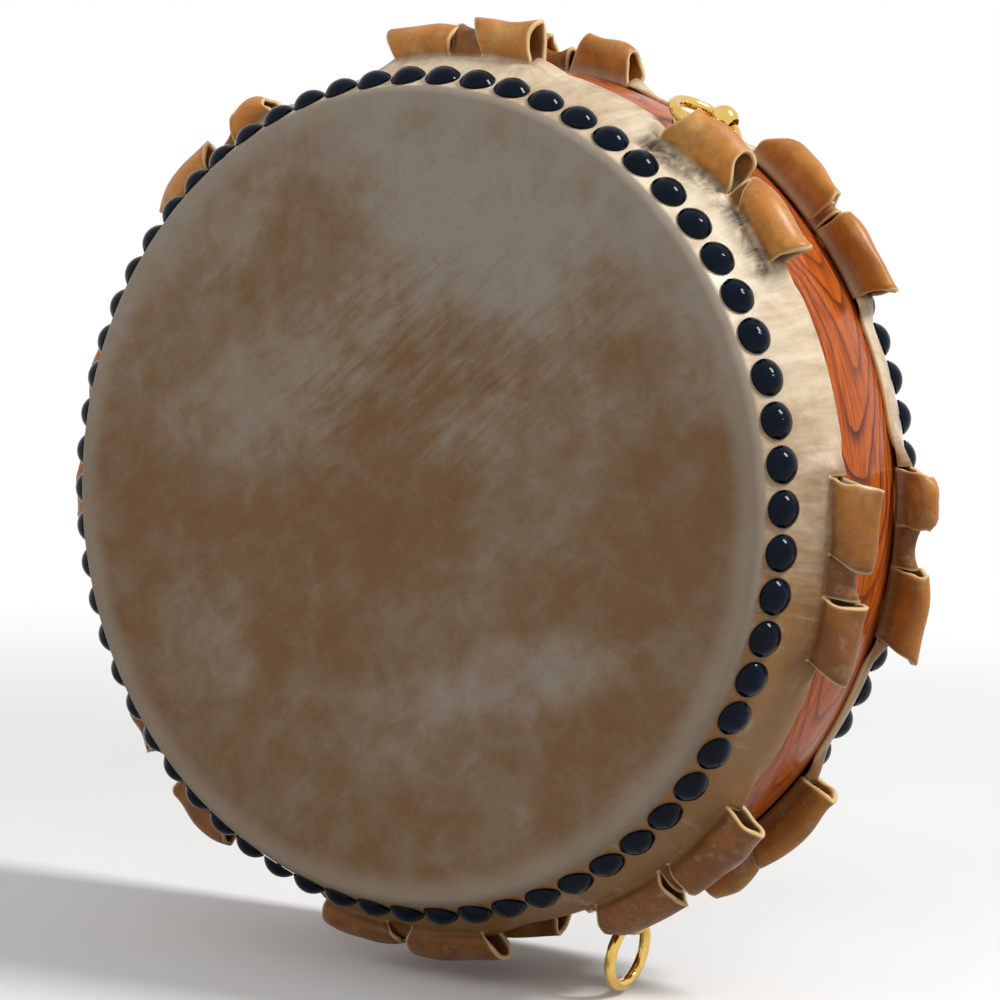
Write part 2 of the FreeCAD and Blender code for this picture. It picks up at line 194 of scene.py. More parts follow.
faceLook = {
    "grey": (0.250, 0.212, 0.175, 1),
    "pale": (0.200, 0.138, 0.088, 1),
    "brown": (0.150, 0.079, 0.033, 1),
    "speck": (0.085, 0.042, 0.020, 1),
    "scratch": (0.33, 0.260, 0.190, 1),
    # pale band round the face's edge: partly paler hide, partly painted highlight
    "paleRimAndHighlight": (0.270, 0.235, 0.190, 1),
    "rimFrom": 0.208, "rimTo": 0.2215, "rimShare": 0.55,
    "top": 0.27, "bottom": 0.73,       # how brown the head is high up and low down
    "fadeHeight": 0.20,                # from this far above the middle to as far below it
    # how much browner or greyer a patch of each kind is
    "strong": 0.40, "clear": 0.30, "faint": 0.20, "light": -0.25, "bare": -0.50,
    # each: middle (right, up), half length, half width, turn in degrees, kind
    "patches": [
        ((-0.066, 0.142), 0.066, 0.036, 42, "strong"),
        ((-0.150, 0.094), 0.060, 0.035, 42, "faint"),
        ((0.019, 0.069), 0.085, 0.030, 30, "clear"),
        ((0.138, 0.100), 0.052, 0.032, -50, "strong"),
        ((0.182, 0.020), 0.055, 0.050, 0, "strong"),
        ((-0.182, 0.002), 0.060, 0.050, 60, "clear"),
        ((-0.094, -0.022), 0.075, 0.035, 0, "clear"),
        ((0.002, -0.005), 0.062, 0.055, 0, "strong"),
        ((0.150, -0.040), 0.065, 0.030, 10, "clear"),
        ((-0.060, -0.080), 0.055, 0.035, 10, "clear"),
        ((0.140, -0.115), 0.060, 0.032, 50, "faint"),
        ((-0.182, -0.070), 0.040, 0.030, 70, "faint"),
        ((-0.110, 0.050), 0.090, 0.028, 22, "light"),
        ((-0.128, -0.096), 0.040, 0.036, 90, "light"),
        ((0.075, -0.096), 0.085, 0.026, 12, "bare"),
        ((0.004, -0.134), 0.055, 0.030, 0, "light"),
        ((0.082, -0.170), 0.034, 0.030, 0, "light"),
        ((0.060, 0.155), 0.130, 0.055, -22, "bare"),
    ],
    "raggedness": 0.050,               # how far a patch's outline strays
    "streakZone": ((0.020, 0.085), 0.130, 0.075, 30),
    "streakTurn": 38,
    "fineStreaks": 0.35, "fineStreaksInZone": 1.3, "broadStreaks": 0.62,
    "clouding": 0.45,
    "hairlineTurn": -24,
}

skirtLook = {
    "cream": (0.68, 0.57, 0.41, 1),
    "tan": (0.26, 0.130, 0.042, 1),
    "amber": (0.48, 0.182, 0.030, 1),
    "gold": (0.56, 0.310, 0.098, 1),
    "brown": (0.165, 0.058, 0.013, 1),
    "hair": (0.060, 0.030, 0.013, 1),
    "cutEdge": (0.70, 0.50, 0.25, 1),
    "lowFrom": 0.17, "lowTo": -0.13,           # the skirt darkens downwards between these: partly browner hide, partly painted shade
    "leftFrom": 0.10, "leftTo": -0.22, "leftTan": 0.45,
    "tannedAt": 1.17, "tannedWidth": 0.26, "tannedTan": 0.42,     # radians round the drum
    "blotchTan": 0.30, "streakTan": 1.3,
    "veinShade": 0.42, "sunkShade": 0.72, "rootShade": 2.2, "hairShade": 0.9,
    "startsAt": 0.0885, "fullAt": 0.0855,      # levels where the face turns into the skirt
}


def patchMask(tree, vector, middle, long, short, turn):
    return fillGroup(tree, patch, {"Vector": vector, "Centre": (middle[0], 0, middle[1]),
                                   "Long": long, "Short": short,
                                   "Turn": math.radians(turn)}).outputs[0]


# flat holds the head's own right and up in X and Z
def faceColour(tree, flat):
    look = faceLook
    links = {"Vector": flat, "Scale": 11.0, "Detail": 6.0, "Roughness": 0.62}
    wander = addNode(tree, "ShaderNodeTexNoise", links).outputs["Color"]
    links = {0: wander, 1: (0.5, 0.5, 0.5)}
    offset = addNode(tree, "ShaderNodeVectorMath", links, operation="SUBTRACT").outputs[0]
    links = {0: offset, "Scale": look["raggedness"]}
    pushed = addNode(tree, "ShaderNodeVectorMath", links, operation="SCALE").outputs[0]
    bent = addNode(tree, "ShaderNodeVectorMath", {0: flat, 1: pushed}, operation="ADD").outputs[0]

    up = addNode(tree, "ShaderNodeSeparateXYZ", {0: flat}).outputs["Z"]
    total = mapRange(tree, up, look["fadeHeight"], -look["fadeHeight"], look["top"], look["bottom"])
    for *oval, kind in look["patches"]:
        total = mathNode(tree, "MULTIPLY_ADD", patchMask(tree, bent, *oval), look[kind], total)

    zone = patchMask(tree, bent, *look["streakZone"])
    depth = mathNode(tree, "MULTIPLY_ADD", zone, look["fineStreaksInZone"], look["fineStreaks"])
    fine = noiseOf(tree, streaked(tree, flat, look["streakTurn"], (30, 1, 210)), 1.0, 5.0, 0.65, 0.3)
    total = addCentred(tree, total, fine, depth)
    broad = noiseOf(tree, streaked(tree, flat, look["streakTurn"], (14, 1, 42)), 1.0, 8.0, 0.70, 0.4)
    total = addCentred(tree, total, broad, look["broadStreaks"])
    cloud = fillGroup(tree, mottle, {"Vector": flat, "Scale": 42.0, "Contrast": 0.8})
    total = addCentred(tree, total, cloud.outputs["Mask"], look["clouding"])

    face = mixColour(tree, mapRange(tree, total, -0.30, 0.60), look["grey"], look["pale"])
    face = mixColour(tree, mapRange(tree, total, 0.22, 1.15), face, look["brown"])
    dust = noiseOf(tree, flat, 330.0, 5.0, 0.75)
    face = mixColour(tree, mapRange(tree, dust, 0.50, 0.80, 0.0, 0.45), face, look["speck"])
    hairs = noiseOf(tree, streaked(tree, flat, look["hairlineTurn"], (45, 1, 800)), 1.0, 2.0, 0.5)
    face = mixColour(tree, mapRange(tree, hairs, 0.68, 0.80, 0.0, 0.30), face, look["scratch"])
    return face, cloud.outputs["Grain"]


# the rolled ears: amber and gold, with painted shade low down, in the set-back strips and where they
# tuck under, and browner at their roots
def earColour(tree, place, low, lowPaintedShade, lifted):
    look = skirtLook
    veins = fillGroup(tree, mottle, {"Vector": place, "Scale": 48.0, "Contrast": 1.0})
    shade = mathNode(tree, "MULTIPLY", veins.outputs["Mask"], look["veinShade"])
    # painted shade: ears low on the drum are darkened towards brown
    shade = mathNode(tree, "MULTIPLY_ADD", low, lowPaintedShade, shade, clamp=True)
    # painted shade: set-back strips between ears, and faintly where the hide tucks under the ears
    recessShade = attribute(tree, "recessShade")
    shade = mathNode(tree, "MULTIPLY_ADD", recessShade, look["sunkShade"], shade, clamp=True)
    root = mathNode(tree, "MULTIPLY", lifted, mathNode(tree, "SUBTRACT", 1.0, lifted))
    shade = mathNode(tree, "MULTIPLY_ADD", root, look["rootShade"], shade, clamp=True)
    dry = mapRange(tree, noiseOf(tree, place, 26.0, 5.0, 0.6), 0.48, 0.70)
    ears = mixColour(tree, dry, look["amber"], look["gold"])
    ears = mixColour(tree, shade, ears, look["brown"])
    specks = mapRange(tree, noiseOf(tree, place, 240.0, 4.0, 0.7), 0.56, 0.72, 0.0, 0.45)
    ears = mixColour(tree, specks, ears, look["brown"])
    worn = mapRange(tree, noiseOf(tree, place, 95.0, 6.0, 0.68), 0.50, 0.78, 0.0, 0.22)
    return mixColour(tree, worn, ears, look["cream"])


# skirt and ears: streaks run from the face down to the free edge
def skirtColour(tree, place, parts, lowPaintedShade):
    look = skirtLook
    turn = mathNode(tree, "ARCTAN2", parts.outputs["Z"], parts.outputs["X"])
    downward = addNode(tree, "ShaderNodeCombineXYZ", {0: turn, 1: parts.outputs["Y"]}).outputs[0]
    blotch = fillGroup(tree, mottle, {"Vector": place, "Scale": 30.0, "Contrast": 0.9})
    # darker towards the bottom: partly browner hide, partly painted shade
    low = mapRange(tree, parts.outputs["Z"], look["lowFrom"], look["lowTo"])
    left = mapRange(tree, parts.outputs["X"], look["leftFrom"], look["leftTo"], 0.0, look["leftTan"])
    off = mathNode(tree, "ABSOLUTE", mathNode(tree, "SUBTRACT", turn, look["tannedAt"]))
    tanned = mapRange(tree, off, look["tannedWidth"], 0.0, 0.0, look["tannedTan"])
    darkest = mathNode(tree, "MAXIMUM", mathNode(tree, "MAXIMUM", low, left), tanned)
    tanness = mathNode(tree, "MULTIPLY_ADD", blotch.outputs["Mask"], look["blotchTan"], darkest)
    drawn = noiseOf(tree, mapped(tree, downward, scale=(26, 22, 1)), 1.0, 7.0, 0.66, 0.5)
    tanness = addCentred(tree, tanness, drawn, look["streakTan"], 0.42)
    tanness = mathNode(tree, "SUBTRACT", tanness, 0.12, clamp=True)
    skirt = mixColour(tree, tanness, look["cream"], look["tan"])

    lifted = attribute(tree, "earness")
    skirt = mixColour(tree, lifted, skirt, earColour(tree, place, low, lowPaintedShade, lifted))
    blots = mapRange(tree, noiseOf(tree, place, 75.0, 5.0, 0.62, 0.6), 0.36, 0.60)
    tufts = noiseOf(tree, mapped(tree, downward, scale=(120, 60, 1)), 1.0, 6.0, 0.75, 1.4)
    smudge = mathNode(tree, "MULTIPLY", blots, mapRange(tree, tufts, 0.30, 0.66, 0.50, 1.0))
    smudge = mathNode(tree, "MULTIPLY", attribute(tree, "stain"), smudge)
    smudge = mathNode(tree, "MULTIPLY", smudge, look["hairShade"], clamp=True)
    skirt = mixColour(tree, smudge, skirt, look["hair"])
    edge = mapRange(tree, attribute(tree, "cutEdge"), 0.55, 1.0, 0.0, 0.85)
    return mixColour(tree, edge, skirt, look["cutEdge"]), blotch.outputs["Mask"]


# mirror and turned set how the patches lie on a head, the last argument how much painted shade
# darkens its low ears
def hideMaterial(name, mirror, turned, lowPaintedShade):
    material, tree, shader, place = newMaterial(name)
    flat = mapped(tree, place, turn=(0, math.radians(turned), 0), scale=(mirror, 0, 1))
    face, grain = faceColour(tree, flat)
    parts = addNode(tree, "ShaderNodeSeparateXYZ", {0: place})
    skirt, blotches = skirtColour(tree, place, parts, lowPaintedShade)
    squares = mathNode(tree, "ADD", square(tree, parts.outputs["X"]),
                       square(tree, parts.outputs["Z"]))
    # partly painted highlight: the face's edge is paled in a band
    paleRimAndHighlight = mapRange(tree, mathNode(tree, "SQRT", squares), faceLook["rimFrom"], faceLook["rimTo"],
                   0.0, faceLook["rimShare"])
    face = mixColour(tree, paleRimAndHighlight, face, faceLook["paleRimAndHighlight"])
    onSkirt = mapRange(tree, mathNode(tree, "ABSOLUTE", parts.outputs["Y"]),
                       skirtLook["startsAt"], skirtLook["fullAt"])
    pores = noiseOf(tree, place, 240.0, 5.0, 0.6)
    height = mathNode(tree, "ADD", mathNode(tree, "MULTIPLY", grain, 0.35), pores)
    faceRough = mapRange(tree, pores, 0.3, 0.7, 0.62, 0.78)
    skirtRough = mapRange(tree, blotches, 0.0, 1.0, 0.34, 0.52)
    rough = addNode(tree, "ShaderNodeMix", {0: onSkirt, 2: faceRough, 3: skirtRough}).outputs[0]
    plug(tree, shader, {
        "Base Color": mixColour(tree, onSkirt, face, skirt),
        "Roughness": rough, "Specular IOR Level": 0.26,
        "Normal": bump(tree, height, 0.0004, 0.35),
    })
    return material


woodLook = {
    "light": (0.47, 0.104, 0.012, 1),
    "deep": (0.25, 0.042, 0.007, 1),
    "line": (0.060, 0.014, 0.013, 1),
    "pore": (0.12, 0.024, 0.010, 1),
    "bands": 62,          # growth bands counted round the drum
    "sweep": 337.5,       # how far a band runs back from mid height, in radians a square metre
    "drift": 0.022,       # how far the bands' middle strays from mid height
    "wander": 0.30,
}


def woodMaterial():
    material, tree, shader, place = newMaterial("lacqueredWood")
    parts = addNode(tree, "ShaderNodeSeparateXYZ", {0: place})
    turn = mathNode(tree, "ARCTAN2", parts.outputs["Z"], parts.outputs["X"])
    drift = mapRange(tree, noiseOf(tree, place, 3.2, 3.0, 0.5), 0.3, 0.7,
                     -woodLook["drift"], woodLook["drift"])
    across = mathNode(tree, "ADD", parts.outputs["Y"], drift)
    bend = mathNode(tree, "MULTIPLY", square(tree, across), woodLook["sweep"])
    wander = noiseOf(tree, mapped(tree, place, scale=(1, 1.6, 1)), 6.0, 4.0, 0.5)
    straight = mathNode(tree, "SUBTRACT", turn, bend)
    bent = mathNode(tree, "MULTIPLY_ADD", wander, woodLook["wander"], straight)
    saw = mathNode(tree, "FRACT", mathNode(tree, "MULTIPLY", bent, woodLook["bands"] / math.tau))
    late = mapRange(tree, saw, 0.30, 0.97)
    fall = mapRange(tree, saw, 0.97, 1.0, 1.0, 0.0)
    line = mathNode(tree, "POWER", mathNode(tree, "MULTIPLY", late, fall), 4.0)
    grain = noiseOf(tree, mapped(tree, place, scale=(70, 520, 38)), 1.0, 4.0, 0.6)
    tone = mathNode(tree, "MULTIPLY_ADD", late, 0.35, mapRange(tree, grain, 0.35, 0.72), clamp=True)
    colour = mixColour(tree, tone, woodLook["light"], woodLook["deep"])
    strength = mapRange(tree, noiseOf(tree, place, 14.0, 2.0, 0.5), 0.35, 0.65, 0.25, 0.90)
    colour = mixColour(tree, mathNode(tree, "MULTIPLY", line, strength), colour, woodLook["line"])
    flecks = noiseOf(tree, mapped(tree, place, scale=(500, 900, 110)), 1.0, 2.0, 0.5)
    pore = mapRange(tree, flecks, 0.60, 0.70, 0.0, 0.65)
    plug(tree, shader, {
        "Base Color": mixColour(tree, pore, colour, woodLook["pore"]),
        "Roughness": mapRange(tree, grain, 0.3, 0.7, 0.24, 0.36),
        "Coat Weight": 0.14, "Coat Roughness": 0.05, "Specular IOR Level": 0.05,
        "Normal": bump(tree, pore, 0.0002, 0.12),
    })
    return material


tackLook = {
    "black": (0.0008, 0.003, 0.008, 1),
    "navy": (0.001, 0.005, 0.014, 1),
    "scuff": (0.006, 0.012, 0.022, 1),
}


def blackMaterial():
    material, tree, shader, place = newMaterial("blackLacquer")
    cloud = fillGroup(tree, mottle, {"Vector": place, "Scale": 90.0, "Contrast": 0.6})
    colour = mixColour(tree, cloud.outputs["Mask"], tackLook["black"], tackLook["navy"])
    scuff = mapRange(tree, noiseOf(tree, place, 300.0, 4.0, 0.7), 0.62, 0.72, 0.0, 0.25)
    plug(tree, shader, {
        "Base Color": mixColour(tree, scuff, colour, tackLook["scuff"]),
        "Roughness": mathNode(tree, "MULTIPLY_ADD", scuff, 0.3, 0.05),
        "Specular IOR Level": 0.09,
        "Normal": bump(tree, noiseOf(tree, place, 120.0, 2.0, 0.5), 0.0003, 0.03),
    })
    return material


goldLook = {
    "bright": (0.84, 0.58, 0.18, 1),
    "dull": (0.68, 0.43, 0.10, 1),
}


def goldMaterial():
    material, tree, shader, place = newMaterial("goldPlate")
    cloud = fillGroup(tree, mottle, {"Vector": place, "Scale": 60.0, "Contrast": 0.8})
    smear = noiseOf(tree, place, 210.0, 4.0, 0.6)
    plug(tree, shader, {
        "Base Color": mixColour(tree, cloud.outputs["Mask"], goldLook["bright"], goldLook["dull"]),
        "Metallic": 1.0,
        "Roughness": mapRange(tree, smear, 0.35, 0.75, 0.09, 0.24),
        "Normal": bump(tree, noiseOf(tree, place, 95.0, 3.0, 0.5), 0.0004, 0.14),
    })
    return material


steelLook = {
    "dark": (0.50, 0.50, 0.49, 1),
    "light": (0.66, 0.66, 0.64, 1),
}


def steelMaterial():
    material, tree, shader, place = newMaterial("zincSteel")
    spangle = addNode(tree, "ShaderNodeTexVoronoi", {"Vector": place, "Scale": 420.0})
    grey = mapRange(tree, spangle.outputs["Distance"], 0.0, 0.9)
    plug(tree, shader, {
        "Base Color": mixColour(tree, grey, steelLook["dark"], steelLook["light"]),
        "Metallic": 1.0,
        "Roughness": mapRange(tree, grey, 0.0, 1.0, 0.30, 0.42),
        "Normal": bump(tree, grey, 0.0002, 0.10),
    })
    return material


frontHideLook = hideMaterial("frontRawhide", 1, 0, 0.78)
rearHideLook = hideMaterial("rearRawhide", -1, 155, 0.20)
wood = woodMaterial()
black = blackMaterial()
gold = goldMaterial()
steel = steelMaterial()
print("materials made")


hide = {
    "columns": 480,
    "thickness": 0.0026,
    "bend": 0.006,            # rounding of the hide over the mouth
    "facePlaces": (0.0, 0.05, 0.10, 0.15, 0.19, 0.21),
    "bendRows": 6,
    "skirtRows": 12,
    "earRows": 26,
    "topOfSide": 0.068,       # beyond this level the hide lies flat under the tacks
    "root": 0.051,            # level where the ears rise
    "earBack": 0.0355,        # level where an ear comes down again
    "freeEdge": 0.033,
    "tent": 0.0050,           # how far the skirt is drawn up in front of an ear
    "tentWidth": 4.0,         # degrees past an ear's ends where that fades out
    "swell": 0.0030,          # how far an ear's sides bulge
    "slant": 5.0,             # how far its cut ends lean, in degrees
    "ragged": 0.9,            # how far they stray from a straight cut, in degrees
    "lean": 0.0022, "leanSpread": 0.006,     # how far it leans back, and how unevenly
    "flare": 0.20, "droop": 0.60,        # share of its height that an end curls up or sinks
    "uneven": 0.0042,         # how far its height wanders
    "foot": 5.0,              # degrees over which the skirt climbs to an ear
    "footRise": 0.006,
    "stripEnds": 0.0050,      # how much higher a strip is where it meets an ear
    "stripSet": 0.0034,       # how far a strip sits back from its ears
    "sway": 0.0034, "crumple": 0.0022, "edgeWave": 0.0015,
    "tuck": 0.0016, "tuckFrom": 0.6,     # the free edge is pressed in under the ears
    "rootPull": 0.8,          # share of a pull that the ears' root takes
    "hairLevel": 0.0545, "hairWidth": 0.0105,
}

# Each pair of ears, degrees anticlockwise from the right seen from the front: the
# ears' starts, ends and heights, the height of the strip between them, how far the
# pair's outer ends are pulled towards the playing face, how hairy its root is, and
# how far each cut end curls up or, below 0, sinks.
frontPairs = [
    {"ears": ((33.0, 41.0, 0.0215), (43.4, 54.6, 0.0262)), "dip": 0.011,
     "pull": (0.003, 0.0105), "hair": 1.2, "curls": (0.6, -0.2, 0.1, 0.65)},
    {"ears": ((77.0, 84.5, 0.0238), (89.6, 98.0, 0.0222)), "dip": 0.0155,
     "pull": (0.001, 0), "hair": 0.4, "curls": (0.5, 0.1, -0.1, 0.2)},
    {"ears": ((118.5, 126.5, 0.0210), (132.5, 140.5, 0.0215)), "dip": 0.010,
     "pull": (0.002, 0), "hair": 0.5, "curls": (-0.3, 0.3, 0.2, -0.2)},
    {"ears": ((162.0, 170.0, 0.0210), (177.0, 187.0, 0.0220)), "dip": 0.010,
     "pull": (0, 0.001), "hair": 0.9, "curls": (0.3, -0.1, 0.2, 0.4)},
    {"ears": ((212.0, 220.0, 0.0220), (225.7, 235.2, 0.0210)), "dip": 0.011,
     "pull": (0.001, 0.002), "hair": 0.3, "curls": (-0.2, 0.3, 0.3, -0.2)},
    {"ears": ((254.5, 264.5, 0.0195), (268.5, 279.5, 0.0200)), "dip": 0.011,
     "pull": (0, 0), "hair": 0.3, "curls": (0.2, -0.2, 0.1, 0.3)},
    {"ears": ((298.0, 308.0, 0.0235), (309.8, 321.2, 0.0235)), "dip": 0.012,
     "pull": (0.003, 0), "hair": 0.5, "curls": (-0.35, 0.3, 0.0, 0.5)},
    {"ears": ((343.0, 351.0, 0.0205), (356.3, 365.7, 0.0210)), "dip": 0.011,
     "pull": (0, 0.001), "hair": 0.5, "curls": (0.1, 0.2, -0.1, 0.6)},
]
rearPairs = [
    {"ears": ((28.8, 39.2, 0.0225), (40.6, 54.0, 0.0235)), "dip": 0.013,
     "pull": (0.001, 0.0105), "hair": 0.3, "curls": (0.5, -0.1, 0.2, -0.45)},
    {"ears": ((74.0, 83.5, 0.0225), (88.5, 97.0, 0.0220)), "dip": 0.011,
     "pull": (0, 0.001), "hair": 0.6, "curls": (-0.2, 0.3, 0.1, 0.4)},
    {"ears": ((118.5, 127.0, 0.0220), (132.0, 140.5, 0.0215)), "dip": 0.010,
     "pull": (0, 0), "hair": 0.9, "curls": (0.3, -0.1, 0.2, -0.3)},
    {"ears": ((161.5, 170.0, 0.0215), (177.0, 187.0, 0.0220)), "dip": 0.010,
     "pull": (0.002, 0), "hair": 0.4, "curls": (-0.2, 0.2, 0.3, 0.1)},
    {"ears": ((211.5, 220.5, 0.0220), (226.0, 235.0, 0.0210)), "dip": 0.011,
     "pull": (0, 0.001), "hair": 0.7, "curls": (0.3, 0.1, -0.1, 0.4)},
    {"ears": ((255.0, 264.5, 0.0200), (269.0, 279.0, 0.0205)), "dip": 0.011,
     "pull": (0.001, 0), "hair": 0.3, "curls": (-0.3, 0.2, 0.2, -0.1)},
    {"ears": ((301.0, 310.6, 0.0215), (312.0, 322.6, 0.0220)), "dip": 0.012,
     "pull": (0, 0), "hair": 0.8, "curls": (0.1, -0.3, 0.1, 0.6)},
    {"ears": ((344.2, 353.6, 0.0230), (359.0, 366.3, 0.0235)), "dip": 0.009,
     "pull": (0.001, 0.001), "hair": 0.3, "curls": (0.35, -0.1, -0.35, -0.35)},
]


# Stretches of the edge: start, end, kind, then heights, pulls and curls at start and
# end, and hair.
def stretchesOf(pairs):
    stretches = []
    foot, footRise = hide["foot"], hide["footRise"]
    for pair in pairs:
        (a, b, first), (c, d, second) = pair["ears"]
        before, after = pair["pull"]
        dip, hair, curls = pair["dip"], pair["hair"], pair["curls"]
        stretches += [
            (a - foot, a, "foot", (0.0, footRise), (0.0, before), (0, 0), hair),
            (a, b, "ear", (first, first), (before, 0.0), curls[:2], hair),
            (b, c, "strip", (dip, dip), (0.0, 0.0), (0, 0), hair),
            (c, d, "ear", (second, second), (0.0, after), curls[2:], hair),
            (d, d + foot, "foot", (footRise, 0.0), (after, 0.0), (0, 0), hair),
        ]
    return stretches


# kind, share of the stretch passed, height, pull, curls and start
def stretchAt(stretches, angle):
    for start, end, kind, heights, pulls, curls, _ in stretches:
        for turn in (0.0, 360.0, -360.0):
            if start <= angle + turn <= end:
                across = (angle + turn - start) / (end - start)
                height = heights[0] + (heights[1] - heights[0]) * across
                pull = pulls[0] + (pulls[1] - pulls[0]) * smooth(across)
                return kind, across, height, pull, curls, start
    return "plain", 0.0, 0.0, 0.0, (0, 0), 0.0


# how close an angle is to an ear or strip, and how hairy it is there
def nearEar(stretches, angle):
    best, hairy = 0.0, 0.0
    for start, end, kind, *_, hair in stretches:
        if kind == "foot":
            continue
        for turn in (0.0, 360.0, -360.0):
            away = max(start - angle - turn, angle + turn - end, 0.0)
            close = smooth(1 - away / hide["tentWidth"])
            best = max(best, close)
            hairy = max(hairy, close * hair)
    return best, hairy


# Cross-section of a rolled ear: level and lift at a share of its length.
def loopPoint(share, height):
    front, back = hide["root"], hide["earBack"]
    half = (front - back) / 2
    crown = min(half, height)
    leaf = max(height - half, 0.0)
    arc = math.pi * (half + crown) / 2
    walked = share * (2 * leaf + arc)
    if walked < leaf:
        return front, walked
    if walked > leaf + arc:
        return back, 2 * leaf + arc - walked
    turn = math.pi * (walked - leaf) / arc
    return (front + back) / 2 + half * math.cos(turn), leaf + crown * math.sin(turn)


# The line that is spun round: reach, level, and the share of an ear's length passed,
# which is -1 before the ears' root.
def hideOutline():
    top, bend = barrel["halfHeight"], hide["bend"]
    outline = [(reach, top, -1.0) for reach in hide["facePlaces"]]
    # the bend is a quarter round between the face and the side's arc
    bendLevel = top - bend
    arcRadius = barrel["hideRadius"] - bend
    bendReach = barrelReach(bendLevel, arcRadius)
    upright = math.radians(90)
    lean = math.asin(bendLevel / arcRadius)
    for row in range(hide["bendRows"] + 1):
        turn = upright + (lean - upright) * row / hide["bendRows"]
        outline.append((bendReach + bend * math.cos(turn), bendLevel + bend * math.sin(turn), -1.0))
    lastLevel = outline[-1][1]
    for row in range(1, hide["skirtRows"] + 1):
        level = lastLevel + (hide["root"] - lastLevel) * row / hide["skirtRows"]
        outline.append((barrelReach(level, barrel["hideRadius"]), level, -1.0))
    outline[-1] = outline[-1][:2] + (0.0,)
    for row in range(1, hide["earRows"] + 1):
        share = row / hide["earRows"]
        level = hide["root"] + (hide["freeEdge"] - hide["root"]) * share
        outline.append((barrelReach(level, barrel["hideRadius"]), level, share))
    return outline


def spinOutline(mesh, side, along):
    points = []
    for reach, level, share in hideOutline():
        point = mesh.verts.new((reach, side * level, 0))
        point[along] = share
        points.append(point)
    lines = [mesh.edges.new(pair) for pair in zip(points, points[1:])]
    bmesh.ops.spin(mesh, geom=points + lines, cent=(0, 0, 0), axis=(0, 1, 0),
                   angle=-2 * math.pi, steps=hide["columns"], use_merge=True)
    bmesh.ops.remove_doubles(mesh, verts=mesh.verts, dist=0.00001)


def columnOf(place):
    return math.degrees(math.atan2(place.z, place.x)) % 360 * hide["columns"] / 360


# The columns nearest the ears' ends, each with the end's angle, and one more past
# either end of the round.
def endColumns(pairs):
    ends = sorted({round(end % 360, 3) for pair in pairs for ear in pair["ears"] for end in ear[:2]})
    columns = [round(end * hide["columns"] / 360) for end in ends]
    before = (columns[-1] - hide["columns"], ends[-1] - 360)
    after = (columns[0] + hide["columns"], ends[0] + 360)
    return [before] + list(zip(columns, ends)) + [after]


# moves the columns a little, so that one stands at each ear's end
def angleOf(column, knots):
    for (fromColumn, fromAngle), (toColumn, toAngle) in zip(knots, knots[1:]):
        if fromColumn <= column <= toColumn:
            share = (column - fromColumn) / (toColumn - fromColumn)
            return fromAngle + share * (toAngle - fromAngle)


# cuts the sheet at the ears' ends, from their root to the free edge
def slitHide(mesh, along, cutColumns):
    slits = [edge for edge in mesh.edges
             if min(edge.verts[0][along], edge.verts[1][along]) > -0.5
             and abs(edge.verts[0][along] - edge.verts[1][along]) > 0.001
             and round(columnOf(edge.verts[0].co)) % hide["columns"] in cutColumns]
    bmesh.ops.split_edges(mesh, edges=slits)


# a small angle towards the side of a slit that a point's faces are on
def slitSide(vert):
    half = hide["columns"] / 2
    middle = sum((face.calc_center_median() for face in vert.link_faces), Vector())
    lean = (columnOf(middle) - columnOf(vert.co) + half) % hide["columns"] - half
    return 0.12 if lean > 0.1 else -0.12 if lean < -0.1 else 0.0


# Angle, level and lift of a point on an ear, a strip or a foot, before the waves.
def rolledPoint(stretch, share, angle, side, wobble):
    kind, across, height, pull, curls, start = stretch
    ends = abs(2 * across - 1)
    arch = math.sin(math.pi * share)
    if kind == "ear":
        first, last = (noise.noise(Vector((start * 3.1, side * 5.3, seed))) for seed in (2.7, 9.4))
        curl = curls[1] if across > 0.5 else curls[0]
        most = hide["flare"] if curl > 0 else hide["droop"]
        height *= 1.02 - 0.05 * ends ** 2 + most * curl * ends ** 4
        wave = noise.noise(Vector((angle * 0.15, wobble * 2, side)))
        height += hide["uneven"] * wave - 0.0004
    if kind == "strip":
        height += hide["stripEnds"] * ends ** 2
    level, lift = loopPoint(share, height)
    if kind == "ear":
        up = min(max(lift / height, 0.0), 1.0)
        half = (hide["root"] - hide["earBack"]) / 2
        middle = (hide["root"] + hide["earBack"]) / 2
        plump = hide["swell"] * (1 - 0.35 * ends ** 2) * math.sin(math.pi * min(up, 0.9))
        level += plump * (level - middle) / half
        level -= (hide["lean"] - hide["leanSpread"] * (first + last)) * up ** 2
        angle += hide["slant"] * up * (first + (last - first) * across)
        stray = noise.noise(Vector((share * 5.0, start, side * 7.7)))
        angle += hide["ragged"] * stray * (2 * across - 1) ** 3 * arch
    return angle, level, max(lift, 0), height


